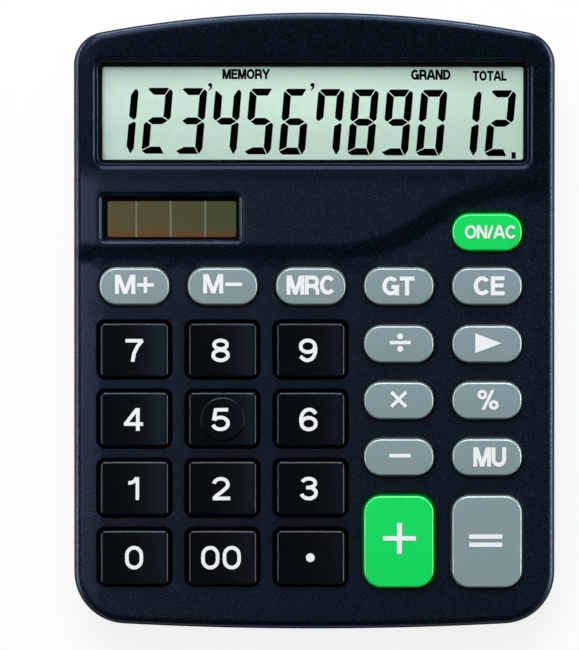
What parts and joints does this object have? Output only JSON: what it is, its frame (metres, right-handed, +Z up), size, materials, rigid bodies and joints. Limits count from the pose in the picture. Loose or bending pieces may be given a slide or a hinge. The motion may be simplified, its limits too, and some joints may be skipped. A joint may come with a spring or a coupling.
{
  "type": "solar desktop calculator",
  "caption": "Desktop calculator with a sloping display, solar window, raised deck with a wave-shaped edge, domed rubber keypad, sprung keys and a sliding battery door.",
  "frame": {"origin": "on the table, under the middle of the outline", "axes": "+X to the right of the keyboard, +Y from the front edge to the display, +Z up"},
  "size_m": [0.12, 0.1538, 0.0346],
  "materials": {
    "case_plastic": "fine spark-eroded grain, dark blue-grey",
    "black_key_plastic": "semi-gloss moulded, near black",
    "grey_key_plastic": "satin moulded, mid grey",
    "green_key_plastic": "satin moulded, bright green",
    "clear_window": "clear polished acrylic",
    "lcd_glass": "clear glass",
    "reflector_film": "pale green-grey film",
    "holder_plastic": "black moulded",
    "ribbon_film": "amber film",
    "cell_glass": "brown amorphous silicon behind glass",
    "tinned_wire": "tinned",
    "board_laminate": "paper phenolic laminate",
    "black_epoxy": "glossy black",
    "capacitor_can": "sleeved can",
    "diode_glass": "orange glass",
    "keypad_rubber": "translucent grey silicone",
    "carbon_rubber": "matt black",
    "foot_rubber": "matt black",
    "cell_can": "plain foil wrap",
    "plated_steel": "nickel plated",
    "screw_steel": "zinc plated",
    "lead_sleeve": "red sleeve"
  },
  "bodies": {
    "housing": {"battery_cell": "cell_can", "battery_contact": "plated_steel", "battery_leads": "lead_sleeve", "battery_spring": "plated_steel", "board_screws": "screw_steel", "bottom_case": "case_plastic", "capacitors": "capacitor_can", "carbon_pills": "carbon_rubber", "case_screws": "screw_steel", "chip_blob": "black_epoxy", "circuit_board": "board_laminate", "diode": "diode_glass", "display_window": "clear_window", "lcd_front_glass": "lcd_glass", "lcd_holder": "holder_plastic", "lcd_rear_glass": "lcd_glass", "lcd_reflector": "reflector_film", "lcd_ribbon": "ribbon_film", "resistors": "black_epoxy", "rubber_feet": "foot_rubber", "rubber_keypad": "keypad_rubber", "solar_cell": "cell_glass", "solar_leads": "tinned_wire", "top_case": "case_plastic"},
    "door": {"battery_door": "case_plastic"},
    "key_0": {"key_0": "black_key_plastic"},
    "key_00": {"key_00": "black_key_plastic"},
    "key_1": {"key_1": "black_key_plastic"},
    "key_2": {"key_2": "black_key_plastic"},
    "key_3": {"key_3": "black_key_plastic"},
    "key_4": {"key_4": "black_key_plastic"},
    "key_5": {"key_5": "black_key_plastic"},
    "key_6": {"key_6": "black_key_plastic"},
    "key_7": {"key_7": "black_key_plastic"},
    "key_8": {"key_8": "black_key_plastic"},
    "key_9": {"key_9": "black_key_plastic"},
    "key_backspace": {"key_backspace": "grey_key_plastic"},
    "key_clear_entry": {"key_clear_entry": "grey_key_plastic"},
    "key_divide": {"key_divide": "grey_key_plastic"},
    "key_equals": {"key_equals": "grey_key_plastic"},
    "key_grand_total": {"key_grand_total": "grey_key_plastic"},
    "key_mark_up": {"key_mark_up": "grey_key_plastic"},
    "key_memory_minus": {"key_memory_minus": "grey_key_plastic"},
    "key_memory_plus": {"key_memory_plus": "grey_key_plastic"},
    "key_memory_recall": {"key_memory_recall": "grey_key_plastic"},
    "key_minus": {"key_minus": "grey_key_plastic"},
    "key_on_clear": {"key_on_clear": "green_key_plastic"},
    "key_percent": {"key_percent": "grey_key_plastic"},
    "key_plus": {"key_plus": "green_key_plastic"},
    "key_point": {"key_point": "black_key_plastic"},
    "key_times": {"key_times": "grey_key_plastic"}
  },
  "joints": [
    {"name": "key_0_press", "type": "slide", "parent": "housing", "child": "key_0", "axis": [0, 0.0698, -0.9976], "range_m": [0, 0.0015], "stiffness_N_per_m": 400, "springref_m": -0.0005, "deforming": ["rubber_keypad", "carbon_pills"]},
    {"name": "key_00_press", "type": "slide", "parent": "housing", "child": "key_00", "axis": [0, 0.0698, -0.9976], "range_m": [0, 0.0015], "stiffness_N_per_m": 400, "springref_m": -0.0005, "deforming": ["rubber_keypad", "carbon_pills"]},
    {"name": "key_1_press", "type": "slide", "parent": "housing", "child": "key_1", "axis": [0, 0.0698, -0.9976], "range_m": [0, 0.0015], "stiffness_N_per_m": 400, "springref_m": -0.0005, "deforming": ["rubber_keypad", "carbon_pills"]},
    {"name": "key_2_press", "type": "slide", "parent": "housing", "child": "key_2", "axis": [0, 0.0698, -0.9976], "range_m": [0, 0.0015], "stiffness_N_per_m": 400, "springref_m": -0.0005, "deforming": ["rubber_keypad", "carbon_pills"]},
    {"name": "key_3_press", "type": "slide", "parent": "housing", "child": "key_3", "axis": [0, 0.0698, -0.9976], "range_m": [0, 0.0015], "stiffness_N_per_m": 400, "springref_m": -0.0005, "deforming": ["rubber_keypad", "carbon_pills"]},
    {"name": "key_4_press", "type": "slide", "parent": "housing", "child": "key_4", "axis": [0, 0.0698, -0.9976], "range_m": [0, 0.0015], "stiffness_N_per_m": 400, "springref_m": -0.0005, "deforming": ["rubber_keypad", "carbon_pills"]},
    {"name": "key_5_press", "type": "slide", "parent": "housing", "child": "key_5", "axis": [0, 0.0698, -0.9976], "range_m": [0, 0.0015], "stiffness_N_per_m": 400, "springref_m": -0.0005, "deforming": ["rubber_keypad", "carbon_pills"]},
    {"name": "key_6_press", "type": "slide", "parent": "housing", "child": "key_6", "axis": [0, 0.0698, -0.9976], "range_m": [0, 0.0015], "stiffness_N_per_m": 400, "springref_m": -0.0005, "deforming": ["rubber_keypad", "carbon_pills"]},
    {"name": "key_7_press", "type": "slide", "parent": "housing", "child": "key_7", "axis": [0, 0.0698, -0.9976], "range_m": [0, 0.0015], "stiffness_N_per_m": 400, "springref_m": -0.0005, "deforming": ["rubber_keypad", "carbon_pills"]},
    {"name": "key_8_press", "type": "slide", "parent": "housing", "child": "key_8", "axis": [0, 0.0698, -0.9976], "range_m": [0, 0.0015], "stiffness_N_per_m": 400, "springref_m": -0.0005, "deforming": ["rubber_keypad", "carbon_pills"]},
    {"name": "key_9_press", "type": "slide", "parent": "housing", "child": "key_9", "axis": [0, 0.0698, -0.9976], "range_m": [0, 0.0015], "stiffness_N_per_m": 400, "springref_m": -0.0005, "deforming": ["rubber_keypad", "carbon_pills"]},
    {"name": "key_backspace_press", "type": "slide", "parent": "housing", "child": "key_backspace", "axis": [0, 0.0698, -0.9976], "range_m": [0, 0.0015], "stiffness_N_per_m": 400, "springref_m": -0.0005, "deforming": ["rubber_keypad", "carbon_pills"]},
    {"name": "key_clear_entry_press", "type": "slide", "parent": "housing", "child": "key_clear_entry", "axis": [0, 0.0698, -0.9976], "range_m": [0, 0.0015], "stiffness_N_per_m": 400, "springref_m": -0.0005, "deforming": ["rubber_keypad", "carbon_pills"]},
    {"name": "key_divide_press", "type": "slide", "parent": "housing", "child": "key_divide", "axis": [0, 0.0698, -0.9976], "range_m": [0, 0.0015], "stiffness_N_per_m": 400, "springref_m": -0.0005, "deforming": ["rubber_keypad", "carbon_pills"]},
    {"name": "key_equals_press", "type": "slide", "parent": "housing", "child": "key_equals", "axis": [0, 0.0698, -0.9976], "range_m": [0, 0.0015], "stiffness_N_per_m": 400, "springref_m": -0.0005, "deforming": ["rubber_keypad", "carbon_pills"]},
    {"name": "key_grand_total_press", "type": "slide", "parent": "housing", "child": "key_grand_total", "axis": [0, 0.0698, -0.9976], "range_m": [0, 0.0015], "stiffness_N_per_m": 400, "springref_m": -0.0005, "deforming": ["rubber_keypad", "carbon_pills"]},
    {"name": "key_mark_up_press", "type": "slide", "parent": "housing", "child": "key_mark_up", "axis": [0, 0.0698, -0.9976], "range_m": [0, 0.0015], "stiffness_N_per_m": 400, "springref_m": -0.0005, "deforming": ["rubber_keypad", "carbon_pills"]},
    {"name": "key_memory_minus_press", "type": "slide", "parent": "housing", "child": "key_memory_minus", "axis": [0, 0.0698, -0.9976], "range_m": [0, 0.0015], "stiffness_N_per_m": 400, "springref_m": -0.0005, "deforming": ["rubber_keypad", "carbon_pills"]},
    {"name": "key_memory_plus_press", "type": "slide", "parent": "housing", "child": "key_memory_plus", "axis": [0, 0.0698, -0.9976], "range_m": [0, 0.0015], "stiffness_N_per_m": 400, "springref_m": -0.0005, "deforming": ["rubber_keypad", "carbon_pills"]},
    {"name": "key_memory_recall_press", "type": "slide", "parent": "housing", "child": "key_memory_recall", "axis": [0, 0.0698, -0.9976], "range_m": [0, 0.0015], "stiffness_N_per_m": 400, "springref_m": -0.0005, "deforming": ["rubber_keypad", "carbon_pills"]},
    {"name": "key_minus_press", "type": "slide", "parent": "housing", "child": "key_minus", "axis": [0, 0.0698, -0.9976], "range_m": [0, 0.0015], "stiffness_N_per_m": 400, "springref_m": -0.0005, "deforming": ["rubber_keypad", "carbon_pills"]},
    {"name": "key_on_clear_press", "type": "slide", "parent": "housing", "child": "key_on_clear", "axis": [0, 0.0698, -0.9976], "range_m": [0, 0.0015], "stiffness_N_per_m": 400, "springref_m": -0.0005, "deforming": ["rubber_keypad", "carbon_pills"]},
    {"name": "key_percent_press", "type": "slide", "parent": "housing", "child": "key_percent", "axis": [0, 0.0698, -0.9976], "range_m": [0, 0.0015], "stiffness_N_per_m": 400, "springref_m": -0.0005, "deforming": ["rubber_keypad", "carbon_pills"]},
    {"name": "key_plus_press", "type": "slide", "parent": "housing", "child": "key_plus", "axis": [0, 0.0698, -0.9976], "range_m": [0, 0.0015], "stiffness_N_per_m": 400, "springref_m": -0.0005, "deforming": ["rubber_keypad", "carbon_pills"]},
    {"name": "key_point_press", "type": "slide", "parent": "housing", "child": "key_point", "axis": [0, 0.0698, -0.9976], "range_m": [0, 0.0015], "stiffness_N_per_m": 400, "springref_m": -0.0005, "deforming": ["rubber_keypad", "carbon_pills"]},
    {"name": "key_times_press", "type": "slide", "parent": "housing", "child": "key_times", "axis": [0, 0.0698, -0.9976], "range_m": [0, 0.0015], "stiffness_N_per_m": 400, "springref_m": -0.0005, "deforming": ["rubber_keypad", "carbon_pills"]},
    {"name": "battery_door_slide", "type": "slide", "parent": "housing", "child": "door", "axis": [0, 1, 0], "range_m": [0, 0.022]}
  ]
}
